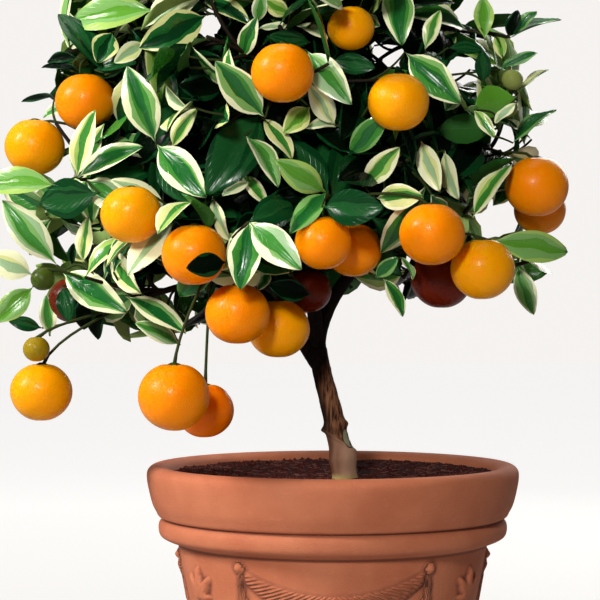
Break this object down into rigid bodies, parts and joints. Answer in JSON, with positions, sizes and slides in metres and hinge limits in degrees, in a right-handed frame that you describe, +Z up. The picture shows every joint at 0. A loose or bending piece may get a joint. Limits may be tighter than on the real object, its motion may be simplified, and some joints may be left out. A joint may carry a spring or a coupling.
{
  "type": "potted mandarin orange tree",
  "caption": "Small mandarin orange tree with variegated leaves and ripe fruit, standing in a garlanded terracotta pot filled with soil.",
  "frame": {"origin": "middle of the pot's flat underside, on the surface that the pot stands on", "axes": "+Z up along the pot's axis, -Y towards the picture's camera, +X to the camera's right"},
  "size_m": [0.4941, 0.4658, 0.7896],
  "materials": {
    "terracotta": "matt unglazed terracotta",
    "soil": "loose dark potting soil",
    "bark": "rough grey-brown bark",
    "foliage": "waxy leaves with cream edges, and orange fruit"
  },
  "bodies": {
    "root": {"bough_back": "bark", "bough_front": "bark", "bough_leader": "bark", "bough_left": "bark", "bough_right": "bark", "branch_back_left": "bark", "branch_back_right": "bark", "branch_front_left": "bark", "branch_front_top": "bark", "branch_left_low": "bark", "branch_left_up": "bark", "branch_right_low": "bark", "branch_right_up": "bark", "foliage_back_left": "foliage", "foliage_back_low": "foliage", "foliage_back_right": "foliage", "foliage_front": "foliage", "foliage_front_left": "foliage", "foliage_front_top": "foliage", "foliage_left": "foliage", "foliage_left_low": "foliage", "foliage_left_up": "foliage", "foliage_right": "foliage", "foliage_right_low": "foliage", "foliage_right_up": "foliage", "foliage_top": "foliage", "pot": "terracotta", "soil": "soil", "trunk": "bark"}
  },
  "joints": []
}
